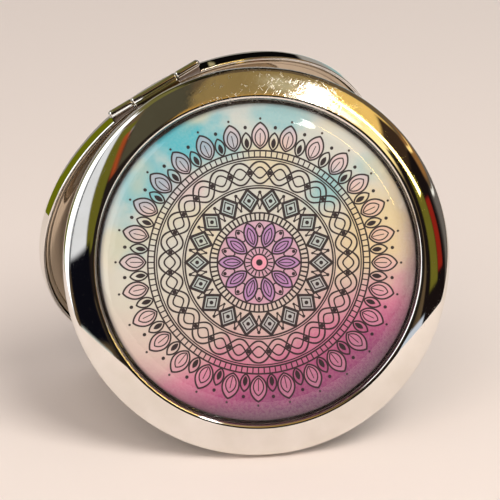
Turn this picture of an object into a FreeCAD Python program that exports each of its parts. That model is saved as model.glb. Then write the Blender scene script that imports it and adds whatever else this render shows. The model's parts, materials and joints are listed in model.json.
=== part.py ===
import FreeCAD, Part
import math
import os

# A round metal compact with two mirrors, standing open on its rims like a tent.
# Both halves are drawn as if the compact lay closed, with the parting plane at z = 0, the lid
# above it, the hinge towards +y and the release button towards -y. They are then swung open about
# the hinge pin, stood up on their rims and set down on the floor. All lengths are millimetres.

# How it stands
open_angle = 44.0
fully_open_angle = 180.0

# Metal rim of each half: a straight wall, a rounded edge, then a gently arched slope. The slope is
# in degrees, where the rounded edge runs into the arch.
rim_radius = 35.0
rim_wall_height = 1.6
edge_round = 1.5
rim_slope = 25.0
rim_arch = 21.0
sheet_thickness = 0.6
parting_gap = 0.2

# Chrome ring of the lid, and the lip of the recess inside it
ring_width = 5.0
lip_round = 0.7

# Decorated insert in the recess
insert_clearance = 0.3
adhesive_thickness = 0.15
print_thickness = 0.25
print_inset = 0.6
dome_edge_height = 0.4
dome_shoulder = 4.8
dome_round = 7.1

# Mirrors and the frames that hold them
frame_set_back = 0.3
frame_lip_thickness = 0.45
frame_lip_width = 0.8
frame_fit = 0.1
mirror_thickness = 1.5
mirror_tape_thickness = 0.25
tape_inset = 0.5
magnifier_hollow = 0.5
pad_clearance = 0.3

# Hinge
barrel_radius = 0.7
barrel_clearance = 0.45
pin_radius = 0.35
pin_running_fit = 0.04
pin_press_fit = 0.01
pin_head_radius = 0.55
pin_head_thickness = 0.3
lid_knuckle_length = 9.0
base_knuckle_length = 4.5
knuckle_gap = 0.15

# Release button and the latch plate behind it
button_width = 12.0
button_height = 2.3
button_reach = 2.2
button_corner = 0.8
button_set_down = 0.65
button_travel = 0.9
button_clearance = 0.1
knob_inside_wall = 0.5
plate_set_down = 0.25
plate_thickness = 0.9
plate_wing = 1.0
plate_front_clearance = 0.4
plate_side_clearance = 0.2
latch_bar_depth = 1.2
press_gap = 0.1
pocket_wall = 0.6

# Leaf spring that pushes the button out
spring_bow = 1.2
spring_thickness = 0.2
spring_length = 12.0
spring_height = 0.7
spring_clearance = 0.05

# Hook on the lid that the latch plate holds
hook_width = 5.0
hook_thickness = 0.6
hook_gap = 0.2
barb_depth = 0.55
barb_height = 0.65
barb_clearance = 0.15
hook_window_clearance = 0.35
foot_length = 1.8
foot_thickness = 0.5
foot_cover = 0.35
rivet_radius = 0.4
rivet_head_radius = 0.7
rivet_head_height = 0.3
rivet_length = 1.2
rivet_spacing = 2.4

# Cutters run past what they cut by this much
overrun = 1.0

# Levels are distances from the parting plane, alike in both halves
rim_level = parting_gap / 2
wall_level = rim_level + rim_wall_height
frame_level = rim_level + frame_set_back
mirror_level = frame_level + frame_lip_thickness
mirror_back_level = mirror_level + mirror_thickness
tray_level = mirror_back_level + mirror_tape_thickness
recess_level = tray_level + sheet_thickness

# Centres of the two arcs in the rim's section, which touch where the rim has the stated slope.
# The crest is where the second arc is level.
slope_tilt = math.radians(rim_slope)
edge_radius = rim_radius - edge_round
crest_radius = edge_radius - (rim_arch - edge_round) * math.sin(slope_tilt)
arch_level = wall_level - (rim_arch - edge_round) * math.cos(slope_tilt)
crest_level = arch_level + rim_arch
back_inner_level = crest_level - sheet_thickness

# Radii of the rim and of what lies inside it
wall_inner_radius = rim_radius - sheet_thickness
ring_inner_radius = rim_radius - ring_width
lip_tilt = math.asin((ring_inner_radius - crest_radius) / rim_arch)
lip_radius = ring_inner_radius - lip_round * math.sin(lip_tilt)
lip_level = arch_level + (rim_arch - lip_round) * math.cos(lip_tilt)
recess_radius = lip_radius - lip_round
insert_radius = recess_radius - insert_clearance

# Distances of the latch pieces from the middle of the base, from the wall inwards
knob_inner = wall_inner_radius - knob_inside_wall
hook_outer = knob_inner - button_travel - press_gap
hook_inner = hook_outer - hook_thickness
latch_bar_outer = hook_inner - hook_gap
latch_bar_inner = latch_bar_outer - latch_bar_depth
pocket_inner = latch_bar_inner - spring_bow
mirror_bore_radius = pocket_inner - pocket_wall
mirror_radius = mirror_bore_radius - frame_fit
pad_radius = min(mirror_radius, crest_radius) - pad_clearance

# Levels of the latch pieces
button_top = rim_level + button_set_down
button_bottom = button_top + button_height
plate_top = button_top + plate_set_down
plate_bottom = plate_top + plate_thickness
barb_top = plate_bottom + barb_clearance
barb_bottom = barb_top + barb_height
foot_top = tray_level - foot_cover
foot_bottom = foot_top - foot_thickness

# Hinge axis, just outside the rim and level with the parting plane
hinge_radius = rim_radius + barrel_clearance + barrel_radius
hinge_centre = FreeCAD.Vector(0, hinge_radius, 0)
across = FreeCAD.Vector(1, 0, 0)
forth = FreeCAD.Vector(0, 1, 0)
up = FreeCAD.Vector(0, 0, 1)
base_knuckle_start = lid_knuckle_length / 2 + knuckle_gap
base_knuckle_end = base_knuckle_start + base_knuckle_length


def section_point(radius, level):
    return FreeCAD.Vector(radius, 0, level)


def line(start, end):
    return Part.LineSegment(start, end).toShape()


def polyline(points):
    return [line(a, b) for a, b in zip(points, points[1:])]


def turned(edges):
    # Solid of revolution about the z axis from the edges of a closed section
    face = Part.Face(Part.Wire(edges))
    return face.revolve(FreeCAD.Vector(), up, 360)


def block(half_width, y_range, z_range):
    # Box centred across the width, given its two ends along y and along z
    y_low, y_high = min(y_range), max(y_range)
    z_low, z_high = min(z_range), max(z_range)
    corner = FreeCAD.Vector(-half_width, y_low, z_low)
    return Part.makeBox(2 * half_width, y_high - y_low, z_high - z_low, corner)


def disc(radius, low, high):
    return Part.makeCylinder(radius, high - low, FreeCAD.Vector(0, 0, low))


def rod(radius, x_start, x_end):
    # Cylinder along the hinge axis
    start = FreeCAD.Vector(x_start, hinge_radius, 0)
    return Part.makeCylinder(radius, x_end - x_start, start, across)


def arc(middle, radius, start_tilt, end_tilt, side):
    # Arc of a section about middle. A tilt of 0 faces away from the parting plane, a quarter
    # turn faces outwards; side is +1 for the lid and -1 for the base.
    points = []
    for tilt in (start_tilt, (start_tilt + end_tilt) / 2, end_tilt):
        step = FreeCAD.Vector(math.sin(tilt), 0, side * math.cos(tilt))
        points.append(middle + step * radius)
    return Part.Arc(*points).toShape(), points[-1]


def rim_section(inset, end_tilt, side):
    # Both arcs of the rim's section, moved inwards by inset, from the wall over to end_tilt
    edge_middle = section_point(edge_radius, side * wall_level)
    arch_middle = section_point(crest_radius, side * arch_level)
    edge, _ = arc(edge_middle, edge_round - inset, math.pi / 2, slope_tilt, side)
    arch, end = arc(arch_middle, rim_arch - inset, slope_tilt, end_tilt, side)
    return [edge, arch], end


def make_lid_shell():
    # Stamped sheet: side wall, sloping ring, lip, recess wall and recess floor
    outer, _ = rim_section(0, lip_tilt, 1)
    tray_radius = recess_radius + sheet_thickness
    inner_tilt = math.asin((tray_radius - crest_radius) / (rim_arch - sheet_thickness))
    inner, inner_end = rim_section(sheet_thickness, inner_tilt, 1)
    lip, lip_end = arc(section_point(lip_radius, lip_level), lip_round, lip_tilt, -math.pi / 2, 1)
    wall = polyline([
        section_point(wall_inner_radius, wall_level),
        section_point(wall_inner_radius, rim_level),
        section_point(rim_radius, rim_level),
        section_point(rim_radius, wall_level),
    ])
    tray = polyline([
        lip_end,
        section_point(recess_radius, recess_level),
        section_point(0, recess_level),
        section_point(0, tray_level),
        section_point(tray_radius, tray_level),
        inner_end,
    ])
    return turned(wall + outer + [lip] + tray + inner[::-1])


def make_base_shell():
    # The same rim with a flat back, and a slot in the wall for the button
    outer, crest = rim_section(0, 0, -1)
    inner, inner_crest = rim_section(sheet_thickness, 0, -1)
    wall = polyline([
        section_point(wall_inner_radius, -wall_level),
        section_point(wall_inner_radius, -rim_level),
        section_point(rim_radius, -rim_level),
        section_point(rim_radius, -wall_level),
    ])
    back = polyline([
        crest,
        section_point(0, -crest_level),
        section_point(0, -back_inner_level),
        inner_crest,
    ])
    return turned(wall + outer + back + inner[::-1]).cut(button_room())


def rim_room(inset, side):
    # All that lies inside the rim's section moved inwards by inset
    outer, crest = rim_section(inset, 0, side)
    rest = polyline([
        crest,
        section_point(0, side * (crest_level - inset)),
        section_point(0, 0),
        section_point(rim_radius - inset, 0),
        section_point(rim_radius - inset, side * wall_level),
    ])
    return turned(outer + rest)


def make_frame(side):
    # Moulded ring that fills the rim and laps over the edge of its mirror
    frame_lip_radius = mirror_radius - frame_lip_width
    ring = polyline([
        section_point(rim_radius, side * tray_level),
        section_point(mirror_bore_radius, side * tray_level),
        section_point(mirror_bore_radius, side * mirror_level),
        section_point(frame_lip_radius, side * mirror_level),
        section_point(frame_lip_radius, side * frame_level),
        section_point(rim_radius, side * frame_level),
        section_point(rim_radius, side * tray_level),
    ])
    return turned(ring).common(rim_room(sheet_thickness + frame_fit, side))


def make_lid_frame(hook, rivets):
    foot_room = block(
        hook_width / 2,
        (-hook_outer, -(hook_inner - foot_length)),
        (foot_bottom, tray_level + overrun),
    )
    return make_frame(1).cut(foot_room.fuse(hook)).cut(rivets)


def make_base_frame():
    # A pocket for the latch plate, and a window where the lid's hook comes down into it
    plate_room = block(
        button_width / 2 + plate_wing + plate_side_clearance,
        (-rim_radius, -pocket_inner),
        (-(plate_bottom + button_clearance), -(plate_top - button_clearance)),
    )
    hook_room = block(
        hook_width / 2 + hook_window_clearance,
        (-(hook_outer + hook_window_clearance), -(hook_inner - barb_depth - hook_window_clearance)),
        (-(tray_level + overrun), 0),
    )
    return make_frame(-1).cut(plate_room).cut(hook_room).cut(button_room())


def make_base_mirror():
    # Magnifying mirror: the face that looks at the lid is part of a large sphere
    sphere_radius = (mirror_radius**2 + magnifier_hollow**2) / (2 * magnifier_hollow)
    lowest = -(mirror_level + magnifier_hollow)
    half_turn = math.asin(mirror_radius / sphere_radius) / 2
    halfway = section_point(
        sphere_radius * math.sin(half_turn),
        lowest + sphere_radius * (1 - math.cos(half_turn)),
    )
    edge = section_point(mirror_radius, -mirror_level)
    middle = section_point(0, lowest)
    hollow = Part.Arc(edge, halfway, middle).toShape()
    back = polyline([
        middle,
        section_point(0, -mirror_back_level),
        section_point(mirror_radius, -mirror_back_level),
        edge,
    ])
    return turned([hollow] + back)


def make_dome(bottom):
    # Clear disc with a short straight edge, a rounded shoulder and a level top
    edge_tilt = math.asin(dome_shoulder / dome_round)
    edge_level = bottom + dome_edge_height
    top_level = edge_level + dome_round * (1 - math.cos(edge_tilt))
    middle = section_point(insert_radius - dome_shoulder, top_level - dome_round)
    shoulder, shoulder_end = arc(middle, dome_round, 0, edge_tilt, 1)
    rest = polyline([
        shoulder_end,
        section_point(insert_radius, bottom),
        section_point(0, bottom),
        section_point(0, top_level),
        section_point(insert_radius - dome_shoulder, top_level),
    ])
    return turned([shoulder] + rest)


def make_knuckle(x_start, x_end, side, bore_fit):
    # Hinge barrel with a leaf that reaches back through the wall of its own half
    leaf = Part.makeBox(
        x_end - x_start,
        hinge_radius,
        barrel_radius - rim_level,
        FreeCAD.Vector(x_start, 0, min(side * rim_level, side * barrel_radius)),
    )
    leaf = leaf.cut(disc(wall_inner_radius, -crest_level, crest_level))
    barrel = rod(barrel_radius, x_start, x_end)
    bore = rod(pin_radius + bore_fit, x_start - overrun, x_end + overrun)
    return leaf.fuse(barrel).removeSplitter().cut(bore)


def make_pin():
    head_start = base_knuckle_end
    head_end = base_knuckle_end + pin_head_thickness
    shank = rod(pin_radius, -head_end, head_end)
    heads = rod(pin_head_radius, head_start, head_end).fuse(rod(pin_head_radius, -head_end, -head_start))
    return shank.fuse(heads).removeSplitter()


def button_room():
    # Space that the knob takes up over its whole travel
    return block(
        button_width / 2 + button_clearance,
        (-(rim_radius + overrun), -(knob_inner - button_travel - button_clearance)),
        (-(button_bottom + button_clearance), -(button_top - button_clearance)),
    )


def make_button():
    # Knob outside the wall, and a latch plate inside it with a window for the hook
    knob_front = rim_radius + button_reach
    knob = block(button_width / 2, (-knob_front, -knob_inner), (-button_bottom, -button_top))
    corners = [e for e in knob.Edges if is_front_corner(e, knob_front)]
    knob = knob.makeFillet(button_corner, corners)
    plate_ends = (-knob_inner, -latch_bar_inner)
    plate_faces = (-plate_bottom, -plate_top)
    plate = block(button_width / 2, plate_ends, plate_faces)
    wings = block(button_width / 2 + plate_wing, plate_ends, plate_faces)
    wings = wings.common(disc(wall_inner_radius - plate_front_clearance, -plate_bottom, -plate_top))
    window = block(
        hook_width / 2 + hook_window_clearance,
        (-knob_inner, -latch_bar_outer),
        (-(plate_bottom + overrun), 0),
    )
    return knob.fuse(plate.fuse(wings).cut(window)).removeSplitter()


def is_front_corner(edge, knob_front):
    # True for the two edges along z at the outer end of the knob
    start, end = edge.Vertexes[0].Point, edge.Vertexes[-1].Point
    upright = math.isclose(abs(end.z - start.z), button_height)
    return upright and math.isclose(start.y, -knob_front)


def make_spring():
    # Bowed strip between the latch bar and the inner wall of the pocket
    bow_out = -(latch_bar_inner - spring_clearance)
    end_in = -(pocket_inner + spring_clearance)
    low = -(plate_top + plate_bottom + spring_height) / 2
    half = spring_length / 2

    def corner(x, y):
        return FreeCAD.Vector(x, y, low)

    end_out = end_in - spring_thickness
    outer = Part.Arc(corner(-half, end_out), corner(0, bow_out), corner(half, end_out)).toShape()
    bow_in = bow_out + spring_thickness
    inner = Part.Arc(corner(half, end_in), corner(0, bow_in), corner(-half, end_in)).toShape()
    left = line(corner(-half, end_in), corner(-half, end_out))
    right = line(corner(half, end_out), corner(half, end_in))
    strip = Part.Face(Part.Wire([outer, right, inner, left]))
    return strip.extrude(up * spring_height)


def make_hook():
    # One bent strip: foot in the lid's frame, shank across the parting plane, barb at the tip
    outline = [
        (-hook_outer, foot_top),
        (-(hook_inner - foot_length), foot_top),
        (-(hook_inner - foot_length), foot_bottom),
        (-hook_inner, foot_bottom),
        (-hook_inner, -barb_top),
        (-(hook_inner - barb_depth), -barb_top),
        (-hook_inner, -barb_bottom),
        (-hook_outer, -barb_bottom),
    ]
    points = [FreeCAD.Vector(-hook_width / 2, y, z) for y, z in outline]
    strip = Part.Face(Part.makePolygon(points + points[:1]))
    shape = strip.extrude(across * hook_width)
    return shape.cut(rivet_shanks())


def rivet_places():
    y = -(hook_inner - foot_length / 2)
    return [FreeCAD.Vector(side * rivet_spacing / 2, y, 0) for side in (-1, 1)]


def rivet_shanks():
    low = up * (foot_top - rivet_length)
    shanks = [Part.makeCylinder(rivet_radius, rivet_length, place + low) for place in rivet_places()]
    return Part.makeCompound(shanks)


def make_rivets():
    rivets = []
    for shank, place in zip(rivet_shanks().Solids, rivet_places()):
        head = Part.makeCylinder(rivet_head_radius, rivet_head_height, place + up * foot_top)
        rivets.append(shank.fuse(head).removeSplitter())
    return Part.makeCompound(rivets)


def stand_roll():
    # How far the hinge leans over when the open compact rests on its two rims and on the corner
    # of its button. In the base's own plane, drop is the turn from the button round to the
    # lowest point of the rim.
    half_open = math.radians(open_angle / 2)
    reach = rim_radius + button_reach - button_corner
    side = button_width / 2 - button_corner
    roll = 0.0
    for _ in range(40):
        lean = math.asin(math.sin(half_open) * math.cos(roll))
        lowest = rim_radius - button_corner + button_set_down * math.tan(lean)
        drop = math.atan2(side, reach) + math.acos(lowest / math.hypot(side, reach))
        roll = math.atan(math.tan(drop) * math.cos(half_open))
    return math.degrees(roll)


def swing(angle):
    return FreeCAD.Placement(FreeCAD.Vector(), FreeCAD.Rotation(across, angle), hinge_centre)


def make_lid_parts():
    hook = make_hook()
    rivets = make_rivets()
    leaf = make_knuckle(-lid_knuckle_length / 2, lid_knuckle_length / 2, 1, pin_running_fit)
    print_level = recess_level + adhesive_thickness
    dome_level = print_level + print_thickness
    print_radius = insert_radius - print_inset
    return {
        "lid_shell": make_lid_shell().cut(leaf),
        "insert_adhesive": disc(print_radius, recess_level, print_level),
        "insert_print": disc(print_radius, print_level, dome_level),
        "insert_dome": make_dome(dome_level),
        "lid_mirror_frame": make_lid_frame(hook, rivets),
        "lid_mirror": disc(mirror_radius, mirror_level, mirror_back_level),
        "lid_mirror_tape": disc(mirror_radius - tape_inset, mirror_back_level, tray_level),
        "lid_hinge_leaf": leaf,
        "catch_hook": hook,
        "catch_rivets": rivets,
    }


def make_base_parts():
    right = make_knuckle(base_knuckle_start, base_knuckle_end, -1, pin_press_fit)
    left = make_knuckle(-base_knuckle_end, -base_knuckle_start, -1, pin_press_fit)
    return {
        "base_shell": make_base_shell().cut(left).cut(right),
        "base_mirror_frame": make_base_frame(),
        "base_mirror": make_base_mirror(),
        "base_mirror_pad": disc(pad_radius, -back_inner_level, -mirror_back_level),
        "base_hinge_leaf_left": left,
        "base_hinge_leaf_right": right,
        "hinge_pin": make_pin(),
        "button_spring": make_spring(),
        "release_button": make_button(),
    }


# Stand the compact up with its hinge rolled to one side and the lid to the front
roll_angle = stand_roll()
upright = FreeCAD.Rotation(forth, -roll_angle).multiply(FreeCAD.Rotation(across, 90))
stand = FreeCAD.Placement(FreeCAD.Vector(), upright)
lid_place = stand.multiply(swing(-open_angle / 2))
base_place = stand.multiply(swing(open_angle / 2))

parts = {}
for name, shape in make_lid_parts().items():
    shape.Placement = lid_place.multiply(shape.Placement)
    parts[name] = shape
for name, shape in make_base_parts().items():
    shape.Placement = base_place.multiply(shape.Placement)
    parts[name] = shape

# The origin is on the floor, under the middle of the whole object
extent = FreeCAD.BoundBox()
for shape in parts.values():
    extent.add(shape.optimalBoundingBox(False, False))
set_down = FreeCAD.Vector(-extent.Center.x, -extent.Center.y, -extent.ZMin)

os.makedirs("parts", exist_ok=True)
for name, shape in parts.items():
    shape.translate(set_down)
    shape.exportStep(f"parts/{name}.step")

print(f"stands with its hinge rolled {roll_angle:.2f} degrees, {len(parts)} pieces")
print(f"width {extent.XLength:.2f}, depth {extent.YLength:.2f}, height {extent.ZLength:.2f} mm")
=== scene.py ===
import json
import bpy
import numpy as np
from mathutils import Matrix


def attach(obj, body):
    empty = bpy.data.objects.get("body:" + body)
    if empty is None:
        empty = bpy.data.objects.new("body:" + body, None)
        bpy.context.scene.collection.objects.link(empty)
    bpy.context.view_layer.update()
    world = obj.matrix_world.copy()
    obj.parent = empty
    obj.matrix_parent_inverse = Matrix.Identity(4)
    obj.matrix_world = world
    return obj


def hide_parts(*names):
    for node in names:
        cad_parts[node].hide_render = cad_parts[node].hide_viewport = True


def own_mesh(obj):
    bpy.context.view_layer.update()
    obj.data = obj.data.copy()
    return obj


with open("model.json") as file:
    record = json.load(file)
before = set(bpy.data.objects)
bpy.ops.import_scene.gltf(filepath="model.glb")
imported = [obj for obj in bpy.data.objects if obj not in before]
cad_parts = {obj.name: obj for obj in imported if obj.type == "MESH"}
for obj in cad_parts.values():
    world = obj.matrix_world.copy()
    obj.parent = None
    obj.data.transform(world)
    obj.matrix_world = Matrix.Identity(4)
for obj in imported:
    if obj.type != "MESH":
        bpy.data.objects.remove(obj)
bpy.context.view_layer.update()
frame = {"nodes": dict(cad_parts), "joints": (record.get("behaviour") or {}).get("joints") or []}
print("solids loaded")

# Pieces are drawn as in the source: the compact lies closed, millimetres, parting plane at z = 0,
# hinge towards +y, lid above. placed() swings them open about the pin and stands them up.
mm = 0.001
scene = bpy.context.scene
joints = {joint["name"]: joint for joint in frame["joints"]}
pinAt = np.array(joints["lid_hinge"]["pos_m"])
pinDir = -np.array(joints["lid_hinge"]["axis"])
halfOpen = np.radians(-joints["lid_hinge"]["range_deg"][0]) / 2
pinRadius = 36.15  # from the middle of the halves to the pin
outward = np.array([-pinDir[2], 0.0, pinDir[0]])
faceDir = np.cross(pinDir, outward)
sideOf = {"lid": 1, "base": -1, "button": -1}  # above or below the parting plane

# Rim section shared by both halves: wall, rounded edge, arched slope; sheet is the metal's thickness
rim = {
    "radius": 35.0, "foot": 0.1, "footSoft": 0.29, "wall": 1.7, "edge": 1.5, "edgeSteps": 14,
    "slope": 25.0, "arch": 21.0, "sheet": 0.6, "around": 480,
}
tilt = np.radians(rim["slope"])
edgeMiddle = np.array([rim["radius"] - rim["edge"], rim["wall"]])
archMiddle = edgeMiddle - (rim["arch"] - rim["edge"]) * np.array([np.sin(tilt), np.cos(tilt)])
rim["crest"] = archMiddle[1] + rim["arch"]

# Degrees from which an edge is rounded off by a bevel, or drawn sharp after a merge
hardEdge = {"bevelled": 35, "sharp": 38}


def placed(points, body):
    # pinAt + x pinDir + (y - pinRadius) yDir + z zDir; yDir and zDir are turned by half the opening
    turn = -sideOf[body] * halfOpen
    yDir = outward * np.cos(turn) + faceDir * np.sin(turn)
    zDir = faceDir * np.cos(turn) - outward * np.sin(turn)
    local = (points - np.array([0, pinRadius, 0])) * mm
    return pinAt + local @ np.array([pinDir, yDir, zDir])


def arc(middle, radius, startTilt, endTilt, count):
    # middle + radius (sin tilt, cos tilt), tilt in degrees
    turn = np.radians(np.linspace(startTilt, endTilt, count))
    return np.stack([middle[0] + radius * np.sin(turn), middle[1] + radius * np.cos(turn)], 1)


def softened(corners, steps=5, closed=False):
    # Each corner (a, b, round) becomes a curve (1-s)^2 A + 2s(1-s) C + s^2 B between points that
    # lie round away from it on both sides; a point just past each end holds the flats flat.
    holdShare = 0.25
    spots = np.array([corner[:2] for corner in corners], float)
    rounds = [corner[2] for corner in corners]
    points = []
    for i, spot in enumerate(spots):
        if rounds[i] == 0 or (not closed and i in (0, len(spots) - 1)):
            points.append(spot[None])
            continue
        before, after = spots[i - 1] - spot, spots[(i + 1) % len(spots)] - spot
        before, after = before / np.linalg.norm(before), after / np.linalg.norm(after)
        start, end = spot + before * rounds[i], spot + after * rounds[i]
        s = np.linspace(0, 1, steps)[:, None]
        curve = (1 - s) ** 2 * start + 2 * s * (1 - s) * spot + s ** 2 * end
        hold = holdShare * rounds[i]
        points.append(np.concatenate([start[None] + before * hold, curve, end[None] + after * hold]))
    return np.concatenate(points)


def rimArcs(inset, endTilt, steps):
    # Rounded edge and arch of the rim, moved inwards by inset, from the wall to endTilt
    edge = arc(edgeMiddle, rim["edge"] - inset, 90, rim["slope"], rim["edgeSteps"])
    arch = arc(archMiddle, rim["arch"] - inset, rim["slope"], endTilt, steps)
    return np.concatenate([edge, arch[1:]])


def lathe(profile, count=360, closed=False):
    # Ring i, step j: (r_i cos t_j, r_i sin t_j, z_i); a ring of no radius is a single pole
    turn = np.arange(count) / count * 2 * np.pi
    rings, verts, total = [], [], 0
    for r, z in profile:
        if np.isclose(r, 0):
            made = np.array([[0, 0, z]])
        else:
            made = np.stack([r * np.cos(turn), r * np.sin(turn), np.full(count, z)], 1)
        rings.append(total + np.arange(len(made)))
        verts.append(made)
        total += len(made)
    faces = []
    for a, b in zip(rings, rings[1:] + rings[:1] * closed):
        nextA, nextB = np.roll(a, -1), np.roll(b, -1)
        if len(a) > 1 and len(b) > 1:
            faces += np.stack([a, nextA, nextB, b], 1).tolist()
        elif len(b) > 1:
            faces += np.stack([np.repeat(a, count), nextB, b], 1).tolist()
        elif len(a) > 1:
            faces += np.stack([a, nextA, np.repeat(b, count)], 1).tolist()
    return np.concatenate(verts), faces


def bands(stations, around):
    # Faces between neighbouring rows of a grid of points, each row closed into a ring
    index = np.arange(stations * around).reshape(stations, around)
    nextAround = np.roll(index, -1, 1)
    sides = np.stack([index[:-1], nextAround[:-1], nextAround[1:], index[1:]], -1)
    return sides.reshape(-1, 4).tolist()


def swept(rows):
    # Rows of outline points, one row per station; the ends are closed with one face each
    stations, around = rows.shape[:2]
    ring = np.arange(around)
    ends = [ring[::-1].tolist(), (ring + (stations - 1) * around).tolist()]
    return rows.reshape(-1, 3), bands(stations, around) + ends


def boxShape(low, high):
    # Unit square carried from z = 0 to z = 1, stretched to fill the box between two corners
    square = np.array([(0, 0), (1, 0), (1, 1), (0, 1)], float)
    spread = np.array(high, float) - np.array(low, float)
    return swept(np.stack([np.c_[square, np.full(4, z)] * spread + low for z in (0.0, 1.0)]))


def slab(outline, levels):
    # Outline (x, y) carried from the first depth below the parting plane to the second
    return swept(np.stack([np.c_[outline, np.full(len(outline), -level)] for level in levels]))


def outwards(shape):
    # Faces are turned over where the volume that they close in, summed over fans of triangles, is negative
    verts, faces = shape
    volume = 0.0
    for size in {len(face) for face in faces}:
        rings = verts[np.array([face for face in faces if len(face) == size])] - verts[0]
        volume += np.einsum("ijk,ik->", np.cross(rings[:, 1:-1], rings[:, 2:]), rings[:, 0])
    return verts, faces if volume > 0 else [face[::-1] for face in faces]


def addMesh(name, verts, faces, material):
    mesh = bpy.data.meshes.new(name)
    mesh.from_pydata(verts.tolist(), [], faces)
    mesh.polygons.foreach_set("use_smooth", np.full(len(faces), True))
    mesh.materials.append(material)
    piece = bpy.data.objects.new(name, mesh)
    scene.collection.objects.link(piece)
    return piece


def addShape(name, shape, material, body):
    # closedAt keeps each point's place in the closed compact, in millimetres, for the materials
    verts, faces = outwards(shape)
    piece = addMesh(name, placed(verts, body), faces, material)
    spots = piece.data.attributes.new("closedAt", "FLOAT_VECTOR", "POINT")
    spots.data.foreach_set("vector", verts.astype(np.float32).ravel())
    return piece


def addPiece(name, shape, material, body, node):
    piece = addShape(name, shape, material, body)
    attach(piece, body)
    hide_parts(node)
    return piece


def bevelled(piece, width, segments=3):
    bevel = piece.modifiers.new("edges", "BEVEL")
    bevel.width = width * mm
    bevel.segments = segments
    bevel.limit_method = "ANGLE"
    bevel.angle_limit = np.radians(hardEdge["bevelled"])
    return piece


def evened(piece):
    # Normals follow the large faces, so that flats stay flat beside rounded edges
    even = piece.modifiers.new("evenNormals", "WEIGHTED_NORMAL")
    even.keep_sharp = True
    return piece


def merged(piece, tools, operation="DIFFERENCE"):
    # Cuts tools out of the piece or adds them, then keeps the mesh with sharp edges where it turns hard
    for tool in tools:
        step = piece.modifiers.new("merge", "BOOLEAN")
        step.object = tool
        step.operation = operation
        step.solver = "EXACT"
    bpy.context.view_layer.update()
    graph = bpy.context.evaluated_depsgraph_get()
    mesh = bpy.data.meshes.new_from_object(piece.evaluated_get(graph))
    mesh.set_sharp_from_angle(angle=np.radians(hardEdge["sharp"]))
    piece.modifiers.clear()
    piece.data = mesh
    for tool in tools:
        bpy.data.objects.remove(tool)
    return piece


def tone(red, green, blue):
    # Screen colour out of 255 to the linear value that a shader takes
    share = np.array([red, green, blue]) / 255
    line = np.where(share <= 0.04045, share / 12.92, ((share + 0.055) / 1.055) ** 2.4)
    return (*[float(v) for v in line], 1.0)


class Shader:
    # Small helper to wire a material's nodes
    def __init__(self, name):
        self.material = bpy.data.materials.new(name)
        self.material.use_nodes = True
        self.tree = self.material.node_tree
        self.surface = self.tree.nodes["Principled BSDF"]
        self.output = self.tree.nodes["Material Output"]

    def feed(self, socket, value):
        if isinstance(value, bpy.types.NodeSocket):
            self.tree.links.new(value, socket)
        else:
            socket.default_value = value

    def set(self, **values):
        for key, value in values.items():
            self.feed(self.surface.inputs[key.replace("_", " ")], value)

    def node(self, kind, *values, **named):
        # New node of this kind, its sockets fed in order and by name
        made = self.tree.nodes.new("ShaderNode" + kind)
        for key, value in [*enumerate(values), *named.items()]:
            self.feed(made.inputs[key], value)
        return made

    def math(self, operation, *values):
        made = self.node("Math", *values)
        made.operation = operation
        return made.outputs[0]

    def length(self, first, second):
        squares = [self.math("MULTIPLY", value, value) for value in (first, second)]
        return self.math("SQRT", self.math("ADD", *squares))

    def attribute(self, name, kind):
        made = self.node("Attribute")
        made.attribute_name = name
        return made.outputs[kind]

    def spots(self):
        return self.attribute("closedAt", "Vector")

    def objectAt(self):
        return self.node("TexCoord").outputs["Object"]

    def parts(self, vector):
        return list(self.node("SeparateXYZ", vector).outputs)

    def stretched(self, vector, packed, turn=0):
        # Turns the pattern about z, then packs it so many times as close along each of its own axes
        turned = (0, 0, float(np.radians(turn)))
        made = self.node("Mapping", Vector=vector, Scale=[1 / k for k in packed], Rotation=turned)
        made.vector_type = "TEXTURE"
        return made.outputs[0]

    def noise(self, vector, scale, detail=3.0, rough=0.5, distortion=0.0):
        made = self.node("TexNoise", Vector=vector, Scale=scale, Detail=detail, Roughness=rough,
                         Distortion=distortion)
        return made.outputs["Fac"]

    def remap(self, value, low, high, newLow, newHigh, smooth=False):
        made = self.node("MapRange", value, low, high, newLow, newHigh)
        made.interpolation_type = "SMOOTHSTEP" if smooth else "LINEAR"
        return made.outputs[0]

    def mix(self, share, first, second):
        # Sockets 6 and 7 and output 2 are the colours'
        made = self.node("Mix", share)
        made.data_type = "RGBA"
        self.feed(made.inputs[6], first)
        self.feed(made.inputs[7], second)
        return made.outputs[2]

    def bump(self, height, strength, distance):
        made = self.node("Bump", Strength=strength, Distance=distance, Height=height)
        self.set(Normal=made.outputs[0])


# Polish of plated metal: noise ranges that its clouds show in, slow wave of the stamping, then the turn and
# packing of two sets of hair scratches, the noise from which a hair shows, its roughness and share of the
# bump. Here and below, depth is a bump's height in metres, and Seen is the range of noise that shows.
polish = {
    "cloud": 0.16, "cloudRough": (0.35, 0.7), "cloudColour": (0.3, 0.75), "wave": 0.05,
    "hairs": ((24, (0.22, 9.0, 9.0)), (-58, (0.3, 12.0, 12.0))), "hairSeen": (0.68, 0.76),
    "hairRough": 0.1, "hairDepth": 0.01, "bump": 0.25, "depth": 0.0002,
}
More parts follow.
